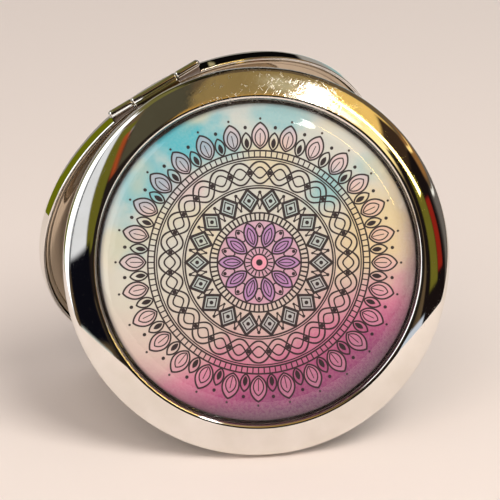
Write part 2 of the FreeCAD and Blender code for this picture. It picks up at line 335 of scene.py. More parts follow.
# Scuffed patch of the lid's ring, where a thumb opens it: middle, core and reach in millimetres, then its
# rubbed marks, nicks and scratches, and the flecks that break up the scratches
scuff = {
    "middle": (19.5, 26.0, 4.0), "core": 6.0, "reach": 22.0,
    "rubTurn": -66, "rubPacked": (0.5, 3.4, 1.6), "rubSeen": (0.3, 0.7), "rubRough": (0.008, 0.055),
    "rubDepth": 0.03, "nickTurn": -21, "nickPacked": (1.1, 6.5, 4.0), "nickSeen": (0.6, 0.7),
    "nickDepth": 0.035, "scratchTurns": (-66, 22), "scratchPacked": (0.22, 1.1, 1.1),
    "scratchHalf": (0.01, 0.03), "scratchDepth": 0.045,
    "fleck": 0.55, "fleckSeen": (0.52, 0.58), "fleckRough": 0.28,
}
# Painted shade on the hinge leaves, darker towards the wall: full and no painted shade at these distances
# from the middle
creaseShade = {"full": 35.1, "none": 35.6, "colour": (112, 98, 86)}


def scuffed(s, at, rough, ripple):
    # Adds the patch's marks to the roughness and the ripple, fading out from its middle
    away = s.node("VectorMath", at, scuff["middle"])
    away.operation = "DISTANCE"
    patch = s.remap(away.outputs["Value"], scuff["core"], scuff["reach"], 1.0, 0.0, True)
    rubbed = s.noise(s.stretched(at, scuff["rubPacked"], scuff["rubTurn"]), 1.0, 4, 0.65)
    nicks = s.noise(s.stretched(at, scuff["nickPacked"], scuff["nickTurn"]), 1.0, 3)
    nicks = s.remap(nicks, *scuff["nickSeen"], 0.0, 1.0)
    worn = s.math("MULTIPLY", patch, s.remap(rubbed, *scuff["rubSeen"], *scuff["rubRough"]))
    rough = s.math("ADD", rough, worn)
    marks = s.math("MULTIPLY_ADD", nicks, scuff["nickDepth"], s.math("MULTIPLY", rubbed, scuff["rubDepth"]))
    broken = s.remap(s.noise(at, scuff["fleck"], 2), *scuff["fleckSeen"], 0.0, scuff["fleckRough"])
    for turn in scuff["scratchTurns"]:
        course = s.noise(s.stretched(at, scuff["scratchPacked"], turn), 1.0, 2)
        aside = s.math("ABSOLUTE", s.math("SUBTRACT", course, 0.5))
        scratch = s.remap(aside, *scuff["scratchHalf"], 1.0, 0.0)
        marks = s.math("MULTIPLY_ADD", scratch, scuff["scratchDepth"], marks)
        fleck = s.math("MULTIPLY", s.math("MULTIPLY", scratch, broken), patch)
        rough = s.math("ADD", rough, fleck)
    return rough, s.math("MULTIPLY_ADD", marks, patch, ripple)


def polishedMetal(name, light, dull, roughLow, roughHigh, vectorOf, worn=False, creaseShaded=False):
    # Plated metal: cloudy wear, two sets of hair scratches and a slight ripple of the stamping; for the
    # hinge, painted shade towards the wall
    s = Shader(name)
    at = vectorOf(s)
    cloud = s.noise(at, polish["cloud"], 4)
    hairs = []
    for turn, packed in polish["hairs"]:
        lines = s.noise(s.stretched(at, packed, turn), 1.0, 2)
        hairs.append(s.remap(lines, *polish["hairSeen"], 0.0, 1.0))
    hair = s.math("MAXIMUM", *hairs)
    clouded = s.remap(cloud, *polish["cloudRough"], roughLow, roughHigh)
    rough = s.math("ADD", clouded, s.math("MULTIPLY", hair, polish["hairRough"]))
    ripple = s.math("MULTIPLY_ADD", hair, -polish["hairDepth"], s.noise(at, polish["wave"], 1))
    if worn:
        rough, ripple = scuffed(s, at, rough, ripple)
    colour = s.mix(s.remap(cloud, *polish["cloudColour"], 0.0, 1.0), tone(*light), tone(*dull))
    if creaseShaded:
        # Painted shade: the colour darkens towards the wall, where the leaves meet it
        share = s.remap(s.parts(at)[1], creaseShade["none"], creaseShade["full"], 0.0, 1.0, True)
        colour = s.mix(share, colour, tone(*creaseShade["colour"]))
    s.set(Metallic=1.0, Base_Color=colour, Roughness=rough)
    s.bump(ripple, polish["bump"], polish["depth"])
    return s.material


# Silvered glass: packing, turn and noise range of its wiped marks, colours, and roughness clean and wiped
silver = {
    "wipePacked": (0.03, 0.25, 0.25), "wipeTurn": 35, "wipeSeen": (0.45, 0.75),
    "bright": (243, 245, 244), "dim": (233, 238, 237), "rough": (0.008, 0.05),
}


def silvered():
    # Mirror: silver behind clean glass with a few faint wiped marks
    s = Shader("silvered")
    wipe = s.noise(s.stretched(s.spots(), silver["wipePacked"], silver["wipeTurn"]), 1.0, 4)
    s.set(Metallic=1.0, Base_Color=s.mix(wipe, tone(*silver["bright"]), tone(*silver["dim"])))
    s.set(Roughness=s.remap(wipe, *silver["wipeSeen"], *silver["rough"]))
    return s.material


# Metallised plastic: how close its turned lines lie, their bump, its grain, colours and roughness
moulded = {
    "lines": 52.0, "bump": 0.02, "depth": 0.00002, "grain": 0.6, "grainSeen": (0.3, 0.7),
    "light": (196, 182, 162), "dark": (180, 166, 146), "rough": (0.035, 0.08),
}


def mouldedSilver():
    # Bright moulded ring with faint turned lines round its middle
    s = Shader("mouldedSilver")
    at = s.spots()
    across, along, _ = s.parts(at)
    lines = s.math("SINE", s.math("MULTIPLY", s.length(across, along), moulded["lines"]))
    grain = s.noise(at, moulded["grain"], 5)
    s.set(Metallic=1.0, Base_Color=s.mix(grain, tone(*moulded["light"]), tone(*moulded["dark"])))
    s.set(Roughness=s.remap(grain, *moulded["grainSeen"], *moulded["rough"]))
    s.bump(lines, moulded["bump"], moulded["depth"])
    return s.material


# Clear resin: its tint is painted darker between two distances from the middle, a painted shade at its edge;
# index, haze and slow wave
resin = {
    "rim": (27.7, 28.6), "clear": (252, 252, 250), "dark": (92, 88, 92), "index": 1.5,
    "haze": 0.4, "hazeSeen": (0.4, 0.8), "rough": (0.0, 0.008), "wave": 0.06, "bump": 0.05, "depth": 0.0001,
}


def clearDome():
    # Clear resin; lamps shine straight through it on to the print
    s = Shader("clearDome")
    at = s.spots()
    across, along, _ = s.parts(at)
    # Painted shade: the tint turns dark grey towards the dome's edge
    edge = s.remap(s.length(across, along), *resin["rim"], 0.0, 1.0, True)
    s.set(Base_Color=s.mix(edge, tone(*resin["clear"]), tone(*resin["dark"])), IOR=resin["index"])
    s.set(Roughness=s.remap(s.noise(at, resin["haze"], 3), *resin["hazeSeen"], *resin["rough"]))
    s.set(Transmission_Weight=1.0)
    s.bump(s.noise(at, resin["wave"], 1), resin["bump"], resin["depth"])
    shadow = s.node("LightPath").outputs["Is Shadow Ray"]
    clear = s.node("BsdfTransparent").outputs[0]
    both = s.node("MixShader", shadow, s.surface.outputs[0], clear)
    s.feed(s.output.inputs["Surface"], both.outputs[0])
    return s.material


# Print: reach is its radius; line and fine are half widths of its lines and soft their edge, all in
# millimetres, for a drawing that is then enlarged by scale
rosette = {"reach": 28.24, "line": 0.13, "fine": 0.1, "soft": 0.045, "scale": 1.17, "ink": (32, 18, 24)}


def rosetteInk(s, r, t):
    # Centred rosette of sun, leaves, hatching, lozenges, braid and a leaf border. Each motif is a distance
    # in millimetres, below 0 within it. Gives the share of ink, then the tints with their shares.
    def nearest(count, phase):
        # Angle of the nearest motif of a ring of them
        step = 2 * np.pi / count
        turns = s.math("ROUND", s.math("MULTIPLY_ADD", t, 1 / step, -phase))
        return s.math("MULTIPLY_ADD", turns, step, phase * step)

    def offsets(count, reach, phase):
        # How far outwards and sideways this point lies from the middle of the nearest motif
        swing = s.math("SUBTRACT", t, nearest(count, phase))
        out = s.math("MULTIPLY_ADD", r, s.math("COSINE", swing), -reach)
        return out, s.math("ABSOLUTE", s.math("MULTIPLY", r, s.math("SINE", swing)))

    def circle(radius):
        return s.math("SUBTRACT", r, radius)

    def dots(count, reach, radius, phase=0.0):
        return s.math("SUBTRACT", s.length(*offsets(count, reach, phase)), radius)

    def lozenges(count, reach, high, wide, phase=0.0):
        # (|out| wide + |aside| high - high wide) / hypot(high, wide)
        out, aside = offsets(count, reach, phase)
        span = np.hypot(high, wide)
        sides = s.math("MULTIPLY_ADD", s.math("ABSOLUTE", out), wide / span, -high * wide / span)
        return s.math("MULTIPLY_ADD", aside, high / span, sides)

    def leaves(count, reach, long, wide, phase=0.0):
        # Where two circles overlap; long and wide are half sizes
        out, aside = offsets(count, reach, phase)
        radius = (long ** 2 + wide ** 2) / (2 * wide)
        return s.math("SUBTRACT", s.length(out, s.math("ADD", aside, radius - wide)), radius)

    def strand(count, reach, swing, phase):
        # (r - reach - swing cos a) / sqrt(1 + (swing count sin a / reach)^2), a = count t + phase
        angle = s.math("MULTIPLY_ADD", t, count, phase)
        rise = s.math("SUBTRACT", circle(reach), s.math("MULTIPLY", s.math("COSINE", angle), swing))
        slope = s.math("MULTIPLY", s.math("SINE", angle), swing * count / reach)
        return s.math("DIVIDE", rise, s.length(slope, 1.0))

    def rays(count, low, high, phase=0.0):
        # Short lines that point at the middle, between two radii
        _, aside = offsets(count, 0.0, phase)
        beyond = s.math("SUBTRACT", s.math("ABSOLUTE", circle((low + high) / 2)), (high - low) / 2)
        return s.math("MAXIMUM", aside, beyond)

    def inked(gap, width=rosette["line"]):
        soft = rosette["soft"]
        return s.remap(s.math("ABSOLUTE", gap), width - soft, width + soft, 1.0, 0.0, True)

    def filled(gap, margin=0.0):
        soft = rosette["soft"]
        return s.remap(gap, margin - soft, margin + soft, 1.0, 0.0, True)

    def paired(gap, half, width=rosette["line"]):
        return inked(s.math("SUBTRACT", s.math("ABSOLUTE", gap), half), width)

    fine = rosette["fine"]
    sun = circle(1.25)
    innerLeaves = leaves(10, 4.35, 1.95, 0.98)
    lozenge = lozenges(18, 9.55, 1.62, 1.38)
    braids = [strand(14, 13.75, 1.25, phase) for phase in (0.0, np.pi)]
    border = leaves(28, 19.35, 1.95, 1.28)
    # Motifs take how many, how far out, half sizes or radius, and a turn in steps; rays two radii
    marks = [
        inked(sun), filled(circle(0.5)), filled(rays(20, 1.5, 2.05), 0.1), inked(circle(2.3)),
        inked(innerLeaves), inked(leaves(10, 4.2, 1.3, 0.55), fine), filled(rays(10, 3.3, 4.9), 0.07),
        filled(dots(10, 5.55, 0.27, 0.5)), inked(leaves(10, 5.0, 1.05, 0.62, 0.5), fine),
        inked(circle(6.45)), filled(rays(64, 6.6, 7.45), 0.13), inked(circle(7.6)),
        inked(lozenge), inked(lozenges(18, 9.55, 1.05, 0.86), fine), filled(dots(18, 9.55, 0.3)),
        filled(dots(18, 8.3, 0.2, 0.5)), filled(dots(18, 10.75, 0.26, 0.5)), inked(circle(11.4)),
        inked(leaves(18, 9.55, 1.2, 0.36, 0.5), fine), inked(lozenges(18, 9.55, 1.9, 1.62), fine),
        inked(circle(11.75), fine), paired(braids[0], 0.42), paired(braids[1], 0.42),
        filled(dots(28, 13.75, 0.34, 0.5)), inked(circle(15.75), fine), inked(circle(16.1)),
        filled(rays(120, 16.25, 16.95), 0.1), inked(circle(17.1)), inked(border),
        inked(leaves(28, 19.1, 1.35, 0.78), fine), filled(rays(28, 18.0, 19.7), 0.07),
        inked(leaves(28, 18.55, 1.35, 0.72, 0.5)), filled(leaves(28, 18.3, 0.8, 0.36, 0.5)),
        filled(dots(28, 20.7, 0.26, 0.5)), filled(dots(28, 21.85, 0.18)),
    ]
    ink = marks[0]
    for mark in marks[1:]:
        ink = s.math("MAXIMUM", ink, mark)
    tints = (
        (circle(6.45), 0.5, (198, 104, 176)), (innerLeaves, 0.55, (150, 92, 186)),
        (sun, 0.8, (238, 150, 176)), (lozenge, 0.42, (126, 176, 190)), (border, 0.34, (222, 160, 186)),
    )
    return ink, [(s.math("MULTIPLY", filled(gap), share), tone(*colour)) for gap, share, colour in tints]


# Wash: bands of colour from the lower edge up, which slant and drift, then pools of other inks, given by
# middle, half width, half height, share and screen colour, cream blots, a painted shade at the rim and the
# paper's grain
aquaInk, creamInk, roseInk = (74, 176, 194), (216, 196, 146), (214, 176, 186)
wash = {
    "slant": -0.42, "drift": 18.0, "driftScale": 0.05, "half": 29.0,
    "stops": (
        (0.0, (110, 42, 98)), (0.11, (158, 58, 116)), (0.22, (196, 112, 146)), (0.33, (204, 182, 176)),
        (0.5, (204, 200, 190)), (0.68, (202, 202, 196)), (1.0, (190, 198, 198)),
    ),
    "pools": (
        (21.0, 6.0, 8.0, 10.0, 0.75, creamInk), (2.0, 19.0, 5.0, 4.0, 0.5, creamInk),
        (-14.0, 13.0, 5.0, 4.0, 0.5, roseInk), (-13.0, 22.0, 10.0, 5.5, 1.0, aquaInk),
        (-20.0, 14.0, 6.5, 6.0, 0.8, aquaInk), (4.0, 26.0, 7.0, 3.0, 0.55, aquaInk),
        (12.0, 13.0, 4.0, 5.0, 0.6, aquaInk), (-24.0, 4.0, 4.5, 5.0, 0.4, aquaInk),
        (20.0, 17.0, 4.0, 3.0, 0.4, aquaInk),
    ),
    "poolSoft": (0.35, 1.2), "wobble": 1.5, "wobbleScale": 0.16,
    "blot": (216, 202, 168), "blotScale": 0.09, "blotSeen": (0.52, 0.66), "blotShare": 0.55,
    "blotLevels": (-8.0, 4.0), "rim": (24.6, 28.2), "shadeShare": 0.7, "shadeLean": 0.75,
    "shadeSide": (-6.0, 24.0), "shadeColour": (72, 30, 62), "grain": 2.2, "grainSeen": (0.3, 0.8),
    "paper": (230, 224, 216), "paperShare": 0.14, "roughSeen": (0.3, 0.7), "rough": (0.42, 0.56),
}


def washColour(s, x, y, at):
    # Colour by slanted height, then the pools by their distance in half sizes, then the blots
    drift = s.noise(at, wash["driftScale"], 3, 0.55, 0.6)
    slant = s.math("MULTIPLY_ADD", x, wash["slant"], y)
    height = s.math("ADD", slant, s.math("MULTIPLY_ADD", drift, wash["drift"], -wash["drift"] / 2))
    ramp = s.node("ValToRGB", s.remap(height, -wash["half"], wash["half"], 0.0, 1.0))
    while len(ramp.color_ramp.elements) < len(wash["stops"]):
        ramp.color_ramp.elements.new(0.5)
    for element, (place, colour) in zip(ramp.color_ramp.elements, wash["stops"]):
        element.position = place
        element.color = tone(*colour)
    laid = ramp.outputs[0]
    wobble = s.noise(at, wash["wobbleScale"], 3, 0.55)
    wobble = s.math("MULTIPLY_ADD", wobble, wash["wobble"], -wash["wobble"] / 2)
    for poolX, poolY, wide, high, share, colour in wash["pools"]:
        aside = s.math("MULTIPLY_ADD", x, 1 / wide, -poolX / wide)
        away = s.length(aside, s.math("MULTIPLY_ADD", y, 1 / high, -poolY / high))
        pool = s.remap(s.math("ADD", away, wobble), *wash["poolSoft"], share, 0.0, True)
        laid = s.mix(pool, laid, tone(*colour))
    blots = s.noise(at, wash["blotScale"], 1, 0.4, 0.2)
    blots = s.remap(blots, *wash["blotSeen"], 0.0, wash["blotShare"], True)
    upper = s.remap(y, *wash["blotLevels"], 0.0, 1.0, True)
    return s.mix(s.math("MULTIPLY", blots, upper), laid, tone(*wash["blot"]))


def printedDisc():
    # Printed paper: wash, tints of the rosette, painted shade darkening the rim at the lower right, grain,
    # then the ink.
    # UV is turned so that its up is the photo's up, and scaled to millimetres from the middle.
    s = Shader("printedDisc")
    uv = s.node("UVMap")
    uv.uv_map = "upright"
    reach = rosette["reach"]
    x, y = [s.math("MULTIPLY_ADD", share, 2 * reach, -reach) for share in s.parts(uv.outputs[0])[:2]]
    r = s.math("MAXIMUM", s.math("DIVIDE", s.length(x, y), rosette["scale"]), 0.01)
    ink, tints = rosetteInk(s, r, s.math("ARCTAN2", y, x))
    at = s.node("CombineXYZ", x, y).outputs[0]
    laid = washColour(s, x, y, at)
    for share, colour in tints:
        laid = s.mix(share, laid, colour)
    # Painted shade: the rim is darkened towards the lower right
    outer = s.remap(s.length(x, y), *wash["rim"], 0.0, wash["shadeShare"], True)
    lean = s.math("MULTIPLY_ADD", x, wash["shadeLean"], s.math("MULTIPLY", y, -1.0))
    edge = s.math("MULTIPLY", outer, s.remap(lean, *wash["shadeSide"], 0.0, 1.0, True))
    laid = s.mix(edge, laid, tone(*wash["shadeColour"]))
    grain = s.noise(at, wash["grain"], 4)
    paper = s.remap(grain, *wash["grainSeen"], 0.0, wash["paperShare"])
    laid = s.mix(paper, laid, tone(*wash["paper"]))
    rough = s.remap(grain, *wash["roughSeen"], *wash["rough"])
    s.set(Base_Color=s.mix(ink, laid, tone(*rosette["ink"])), Roughness=rough)
    return s.material


# Even finishes of the hidden layers: noise range of their mottle, how far roughness strays, bump
plain = {"mottle": (0.3, 0.7), "stray": 0.06, "bump": 0.5}


def plainFinish(name, colour, other, roughness, scale, depth=0.0):
    # Even finish with a fine mottle, on the object's own coordinates in metres
    s = Shader(name)
    mottle = s.noise(s.objectAt(), scale, 5, 0.6)
    s.set(Base_Color=s.mix(s.remap(mottle, *plain["mottle"], 0.0, 1.0), tone(*colour), tone(*other)))
    spread = (roughness - plain["stray"], roughness + plain["stray"])
    s.set(Roughness=s.remap(mottle, *plain["mottle"], *spread))
    if depth:
        s.bump(mottle, plain["bump"], depth)
    return s.material


def metresToMillimetres(s):
    return s.stretched(s.objectAt(), [1 / mm] * 3)


# Light and dull colour of each metal, and its least and most roughness
plating = ((240, 238, 234), (228, 225, 218), 0.015, 0.05)
steelSheet = ((206, 206, 208), (186, 184, 182), 0.12, 0.24)
rivetSteel = ((206, 206, 208), (186, 184, 182), 0.14, 0.26)
chrome = polishedMetal("chrome", *plating, Shader.spots, worn=True)
hingeChrome = polishedMetal("hingeChrome", *plating, Shader.spots, creaseShaded=True)
steel = polishedMetal("steel", *steelSheet, Shader.spots)
solidSteel = polishedMetal("solidSteel", *rivetSteel, metresToMillimetres)
mirrorGlass = silvered()
framePlastic = mouldedSilver()
domeResin = clearDome()
printPaper = printedDisc()
print("materials made")

# Lid shell: recess floor, recess wall, lip, arched ring, rounded edge, wall, then back inside
lidShell = {"ringInner": 30.0, "lip": 0.7, "floor": 3.2, "floorSoft": 0.12, "tray": 2.6}
lipTilt = np.degrees(np.arcsin((lidShell["ringInner"] - archMiddle[0]) / rim["arch"]))
lipTurn = np.radians(lipTilt)
lipMiddle = archMiddle + (rim["arch"] - lidShell["lip"]) * np.array([np.sin(lipTurn), np.cos(lipTurn)])
recessRadius = lipMiddle[0] - lidShell["lip"]
lipPoints = arc(lipMiddle, lidShell["lip"], -90, lipTilt, 18)
trayRadius = recessRadius + rim["sheet"]
innerTilt = np.degrees(np.arcsin((trayRadius - archMiddle[0]) / (rim["arch"] - rim["sheet"])))
innerArcs = rimArcs(rim["sheet"], innerTilt, 8)
innerWall = rim["radius"] - rim["sheet"]
footPoints = softened([
    (rim["radius"], rim["wall"], 0), (rim["radius"], rim["foot"], rim["footSoft"]),
    (innerWall, rim["foot"], rim["footSoft"]), (innerWall, rim["wall"], 0),
])
floorPoints = softened([
    (0, lidShell["floor"], 0), (recessRadius, lidShell["floor"], lidShell["floorSoft"]), (*lipPoints[0], 0),
])
lidProfile = np.concatenate([
    floorPoints[:-1], lipPoints, rimArcs(0, lipTilt, 30)[::-1][1:], footPoints[1:], innerArcs[1:],
    [(trayRadius, lidShell["tray"]), (0, lidShell["tray"])],
])
addPiece("lidShell", lathe(lidProfile, rim["around"]), chrome, "lid", "lid_shell")

# Base shell: flat back, the same rim, and a slot for the button, cut from past the rim inwards
baseShell = {
    "flatHold": 0.4, "slotHalf": 6.1, "slotTop": 0.65, "slotBottom": 3.15, "slotDepth": 32.8, "slotPast": 2.0,
}
baseOuter = rimArcs(0, 0, 40)[::-1]
baseInner = rimArcs(rim["sheet"], 0, 12)
baseProfile = np.concatenate([
    [(0, rim["crest"]), (baseOuter[0, 0] - baseShell["flatHold"], rim["crest"])], baseOuter, footPoints[1:],
    baseInner[1:], [(0, rim["crest"] - rim["sheet"])],
]) * (1, -1)
baseRim = addPiece("baseShell", lathe(baseProfile, rim["around"]), chrome, "base", "base_shell")
slotLow = (-baseShell["slotHalf"], -rim["radius"] - baseShell["slotPast"], -baseShell["slotBottom"])
slotHigh = (baseShell["slotHalf"], -baseShell["slotDepth"], -baseShell["slotTop"])
merged(baseRim, [addShape("tool", boxShape(slotLow, slotHigh), chrome, "base")])
print("shells made")

# Printed disc and the clear dome on it; the dome's foot reaches just below the print's face. upright is
# the turn in degrees from the photo's right to the hinge's direction on the lid.
insert = {
    "play": 0.3, "low": 3.35, "face": 3.62, "faceSoft": 0.03, "upright": 31.16,
    "foot": 3.6, "footSoft": 0.06, "edge": 0.4, "edgeSoft": 0.12, "shoulder": 4.8, "round": 7.1,
    "flatHold": 20.0,
}
insert["radius"] = recessRadius - insert["play"]
discShape = lathe(softened([
    (0, insert["low"], 0), (rosette["reach"], insert["low"], 0),
    (rosette["reach"], insert["face"], insert["faceSoft"]), (0, insert["face"], 0),
], 3), 240)
disc = addPiece("insertPrint", discShape, printPaper, "lid", "insert_print")
upright = np.radians(insert["upright"])
spots = discShape[0].astype(np.float32)
across = spots[:, 0] * np.cos(upright) - spots[:, 1] * np.sin(upright)
along = spots[:, 0] * np.sin(upright) + spots[:, 1] * np.cos(upright)
mapped = np.stack([across, along], 1) / (2 * rosette["reach"]) + 0.5
corner = np.empty(len(disc.data.loops), np.int32)
disc.data.loops.foreach_get("vertex_index", corner)
layer = disc.data.uv_layers.new(name="upright")
layer.data.foreach_set("uv", mapped[corner].astype(np.float32).ravel())

flank = np.sqrt(insert["round"] ** 2 - insert["shoulder"] ** 2)
domeTop = insert["foot"] + insert["edge"] + insert["round"] - flank
edgeTilt = np.degrees(np.arcsin(insert["shoulder"] / insert["round"]))
shoulderMiddle = (insert["radius"] - insert["shoulder"], domeTop - insert["round"])
shoulder = arc(shoulderMiddle, insert["round"], edgeTilt, 0, 40)
domeEdge = softened([
    (0, insert["foot"], 0), (insert["radius"], insert["foot"], insert["footSoft"]),
    (insert["radius"], insert["foot"] + insert["edge"], insert["edgeSoft"]), (*shoulder[1], 0),
])
domeProfile = np.concatenate([domeEdge, shoulder[2:], [(insert["flatHold"], domeTop), (0, domeTop)]])
addPiece("insertDome", lathe(domeProfile), domeResin, "lid", "insert_dome")
print("insert made")

# Mirror frames: moulded rings that lap over the mirrors' edges, with a bead and a ridge on their faces
ring = {
    "lip": 28.2, "lipSoft": 0.22, "face": 0.4, "under": 0.85, "underSoft": 0.1, "bore": 29.1,
    "boreSoft": 0.05, "tray": 2.6, "shoulder": 33.5, "shoulderSoft": 0.1, "outer": 34.3, "cornerSoft": 0.02,
    "beadWide": 2.05, "beadDrop": 0.45, "ridge": 0.5, "ridgeAt": 33.77, "ridgeFrom": -80,
}
beadRound = (ring["beadWide"] ** 2 + ring["beadDrop"] ** 2) / (2 * ring["beadDrop"])
ridgeFoot = ring["ridgeAt"] - ring["ridge"]
beadMiddle = (ridgeFoot - ring["beadWide"], -ring["face"] - beadRound)
beadEnd = np.degrees(np.arcsin(ring["beadWide"] / beadRound))
ridgeMiddle = (ring["ridgeAt"], -ring["face"] - ring["ridge"])
ridge = arc(ridgeMiddle, ring["ridge"], ring["ridgeFrom"], 90, 22)
bead = np.concatenate([arc(beadMiddle, beadRound, 0, beadEnd, 12), ridge]) * (1, -1)
frameCorners = [
    (*bead[-1], 0), (ring["outer"], rim["wall"], ring["cornerSoft"]),
    (ring["shoulder"], ring["tray"], ring["shoulderSoft"]), (ring["bore"], ring["tray"], ring["boreSoft"]),
    (ring["bore"], ring["under"], ring["cornerSoft"]), (ring["lip"], ring["under"], ring["underSoft"]),
    (ring["lip"], ring["face"], ring["lipSoft"]), (*bead[0], 0),
]
frameProfile = np.concatenate([softened(frameCorners)[:-1], bead[:-1]])
lidRing = lathe(frameProfile, closed=True)
baseRing = lathe(frameProfile * (1, -1), closed=True)
addPiece("lidMirrorFrame", lidRing, framePlastic, "lid", "lid_mirror_frame")
baseFrame = addPiece("baseMirrorFrame", baseRing, framePlastic, "base", "base_mirror_frame")
# Room in the base's ring for the hook, the latch plate and the knob: lowest and highest corners
latchRoom = {
    "hook": ((-2.85, -33.25, -3.6), (2.85, -31.4, 0.0)),
    "plate": ((-7.2, -35.2, -2.0), (7.2, -29.7, -0.9)),
    "knob": ((-6.1, -36.0, -3.15), (6.1, -32.9, -0.65)),
}
merged(baseFrame, [addShape("tool", boxShape(*room), framePlastic, "base") for room in latchRoom.values()])

# Mirrors: a flat one in the lid, a hollow magnifying one in the base
mirror = {
    "radius": 29.0, "face": 0.85, "back": 2.35, "hollow": 0.5, "faceSoft": 0.2, "backSoft": 0.1,
    "edgeDrop": 0.1, "edgeSoft": 0.05,
}
backCorners = [(mirror["radius"], mirror["back"], mirror["backSoft"]), (0, mirror["back"], 0)]
flatCorners = [(0, mirror["face"], 0), (mirror["radius"], mirror["face"], mirror["faceSoft"])] + backCorners
addPiece("lidMirror", lathe(softened(flatCorners), 240), mirrorGlass, "lid", "lid_mirror")
# Bowl at distance r: face + hollow - ball + sqrt(ball^2 - r^2), where ball is the sphere's radius
ball = (mirror["radius"] ** 2 + mirror["hollow"] ** 2) / (2 * mirror["hollow"])
reach = np.linspace(0, mirror["radius"] - mirror["faceSoft"], 60)
bowl = np.stack([reach, mirror["face"] + mirror["hollow"] - ball + np.sqrt(ball ** 2 - reach ** 2)], 1)
bowlEdge = (mirror["radius"], bowl[-1, 1] + mirror["edgeDrop"], mirror["edgeSoft"])
edgeCorners = [(*bowl[-1], 0), bowlEdge] + backCorners
bowlProfile = np.concatenate([bowl[:-1], softened(edgeCorners)]) * (1, -1)
addPiece("baseMirror", lathe(bowlProfile, 240), mirrorGlass, "base", "base_mirror")
print("mirrors made")

# Hinge knuckles: barrel and leaf in one outline, carried along the pin; the leaf is rolled below, bulges
# above and ends in the wall. notch, foldFrom and bulgeTilt are tilts in degrees.
knuckle = {
    "barrel": 0.7, "notch": -35.0, "seam": 0.42, "leafLow": 0.1, "fold": 0.52, "foldAt": 34.98,
    "foldFrom": 126, "bulge": 0.43, "bulgeOut": 0.05, "bulgeLevel": 0.26, "bulgeTilt": 70,
    "wallMiddle": 34.6, "half": 4.5, "gap": 0.15, "outerLength": 4.5, "soft": 0.26, "softSteps": 7,
}


def drawnIn(outline, amount):
    # Moves each point of a closed outline inwards, square to the line through its neighbours
    after = np.roll(outline, -1, 0)
    along = after - np.roll(outline, 1, 0)
    normal = np.stack([along[:, 1], -along[:, 0]], 1) / np.linalg.norm(along, axis=1)[:, None]
    area = np.sum(outline[:, 0] * after[:, 1] - after[:, 0] * outline[:, 1])
    return outline - np.sign(area) * amount * normal


def knuckleShape(start, end, side):
    # Ends are rounded: soft (1 - cos a) in from an end the outline is drawn in by soft (1 - sin a)
    soft = knuckle["soft"]
    turn = np.linspace(0, np.pi / 2, knuckle["softSteps"])
    fromEnd, inset = soft * (1 - np.cos(turn)), soft * (1 - np.sin(turn))
    between = np.linspace(start + soft, end - soft, 6)[1:-1]
    stations = np.concatenate([start + fromEnd, between, end - fromEnd[::-1]])
    insets = np.concatenate([inset, np.zeros(len(between)), inset[::-1]])
    meet = np.degrees(np.arcsin(knuckle["seam"] / knuckle["barrel"]))
    roll = arc((pinRadius, 0), knuckle["barrel"], knuckle["notch"], 270 + meet, 60)
    foldMiddle = (knuckle["foldAt"], knuckle["leafLow"] + knuckle["fold"])
    fold = arc(foldMiddle, knuckle["fold"], knuckle["foldFrom"], 180, 8)
    bulgeMiddle = (rim["radius"] + knuckle["bulgeOut"], knuckle["bulgeLevel"])
    bulge = arc(bulgeMiddle, knuckle["bulge"], -knuckle["bulgeTilt"], knuckle["bulgeTilt"], 14)
    rows = []
    for x, amount in zip(stations, insets):
        inner = np.sqrt(knuckle["wallMiddle"] ** 2 - x ** 2)
        leaf = np.concatenate([fold, [(inner, knuckle["leafLow"]), (inner, bulge[0, 1])], bulge])
        outline = drawnIn(np.concatenate([roll, leaf]), amount) * (1, side)
        rows.append(np.c_[np.full(len(outline), x), outline])
    return swept(np.stack(rows))


outerStart = knuckle["half"] + knuckle["gap"]
outerEnd = outerStart + knuckle["outerLength"]
knuckles = (
    ("lidHingeLeaf", -knuckle["half"], knuckle["half"], "lid", "lid_hinge_leaf"),
    ("baseHingeLeafLeft", -outerEnd, -outerStart, "base", "base_hinge_leaf_left"),
    ("baseHingeLeafRight", outerStart, outerEnd, "base", "base_hinge_leaf_right"),
)
for name, start, end, body, node in knuckles:
    addPiece(name, knuckleShape(start, end, sideOf[body]), hingeChrome, body, node)

# Hinge pin: shank with a peened head at each end, turned about the hinge axis
pin = {"radius": 0.35, "head": 0.55, "headLength": 0.3}
dome = arc((0, 0), 1.0, 0, 90, 8)[::-1] * (pin["head"], pin["headLength"])
headEnd = np.stack([dome[:, 0], outerEnd + dome[:, 1]], 1)
half = np.concatenate([[(pin["radius"], 0), (pin["radius"], outerEnd)], headEnd])
half[-1, 0] = 0
pinProfile = np.concatenate([(half * (1, -1))[::-1][:-1], half[1:]])
pinVerts, pinFaces = lathe(pinProfile, 48)
pinVerts = np.stack([pinVerts[:, 2], pinVerts[:, 0] + pinRadius, pinVerts[:, 1]], 1)
addPiece("hingePin", (pinVerts, pinFaces), steel, "base", "hinge_pin")
print("hinge made")

# Release button: rounded knob outside the wall, U-shaped latch plate behind it
button = {
    "half": 6.0, "front": 37.2, "back": 33.9, "top": 0.75, "bottom": 3.05, "corner": 0.8, "soft": 0.2,
    "softSteps": 4,
}
knobOutline = softened([
    (-button["half"], -button["back"], 0), (-button["half"], -button["front"], button["corner"]),
    (button["half"], -button["front"], button["corner"]), (button["half"], -button["back"], 0),
], 9)
plate = {
    "half": 7.0, "inner": 30.9, "shoulder": 33.27, "step": 33.466, "windowHalf": 2.85, "window": 32.1,
    "top": 1.0, "bottom": 1.9, "root": 0.5,
}
plateRoot = button["back"] + plate["root"]
plateHalf = np.array([
    (plate["half"], plate["inner"]), (plate["half"], plate["shoulder"]), (button["half"], plate["step"]),
    (button["half"], button["back"]), (button["half"] - plate["root"], plateRoot),
    (plate["windowHalf"], plateRoot), (plate["windowHalf"], plate["window"]),
])
plateOutline = np.concatenate([plateHalf, (plateHalf * (-1, 1))[::-1]]) * (1, -1)
